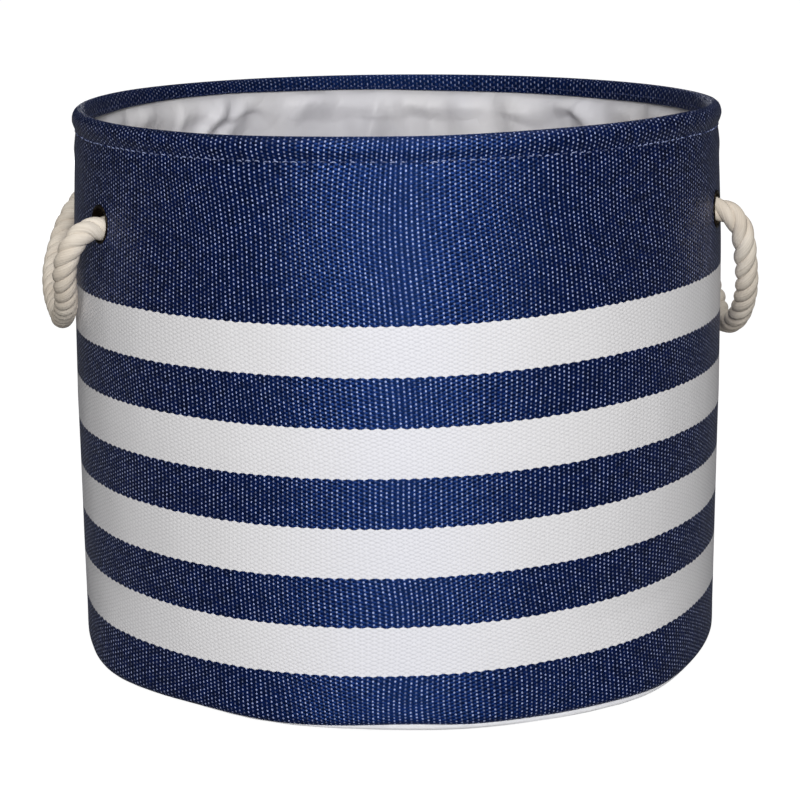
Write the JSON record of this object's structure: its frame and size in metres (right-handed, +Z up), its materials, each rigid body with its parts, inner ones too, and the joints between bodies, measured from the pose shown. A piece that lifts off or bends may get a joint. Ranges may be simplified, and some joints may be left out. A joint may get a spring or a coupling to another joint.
{
  "type": "fabric storage basket",
  "caption": "Round, open-topped, self-standing storage basket of navy and white striped woven cloth, lined, with a twisted rope handle on each side.",
  "frame": {"origin": "centre of the round base, on the surface that the basket stands on", "axes": "+Z up through the open top, +X towards the right handle, -X towards the left handle, -Y towards the front"},
  "size_m": [0.3959, 0.3586, 0.298],
  "materials": {
    "woven_cloth": "coarse woven paper-yarn cloth, navy with four white bands, faint satin sheen",
    "lining_satin": "thin, slightly shiny coated lining cloth, loosely fitted",
    "interlining": "stiff felted non-woven sheet",
    "base_cloth": "plain light grey coated cloth",
    "greyboard": "matte pressed board",
    "binding_tape": "flat woven tape",
    "hoop_steel": "drawn steel wire",
    "eyelet_brass": "antique brass, dark",
    "cotton_rope": "three-strand twisted natural cotton"
  },
  "bodies": {
    "basket": {"outer_wall": "woven_cloth", "rim_hoop": "hoop_steel", "wall_interlining": "interlining", "lining_wall": "lining_satin", "lining_floor": "lining_satin", "base_board": "greyboard", "base_panel": "base_cloth", "base_seam_binding": "binding_tape", "left_front_eyelet": "eyelet_brass", "left_front_eyelet_washer": "eyelet_brass", "left_front_rope_end": "cotton_rope", "left_rear_eyelet": "eyelet_brass", "left_rear_eyelet_washer": "eyelet_brass", "left_rear_rope_end": "cotton_rope", "right_front_eyelet": "eyelet_brass", "right_front_eyelet_washer": "eyelet_brass", "right_front_rope_end": "cotton_rope", "right_rear_eyelet": "eyelet_brass", "right_rear_eyelet_washer": "eyelet_brass", "right_rear_rope_end": "cotton_rope"},
    "left_handle": {"left_handle_rope": "cotton_rope"},
    "right_handle": {"right_handle_rope": "cotton_rope"}
  },
  "joints": [
    {"name": "left_handle_swing", "type": "hinge", "parent": "basket", "child": "left_handle", "pos_m": [-0.16889, 0, 0.241], "axis": [0, 1, 0], "range_deg": [0, 130]},
    {"name": "right_handle_swing", "type": "hinge", "parent": "basket", "child": "right_handle", "pos_m": [0.16889, 0, 0.241], "axis": [0, -1, 0], "range_deg": [0, 130]}
  ]
}
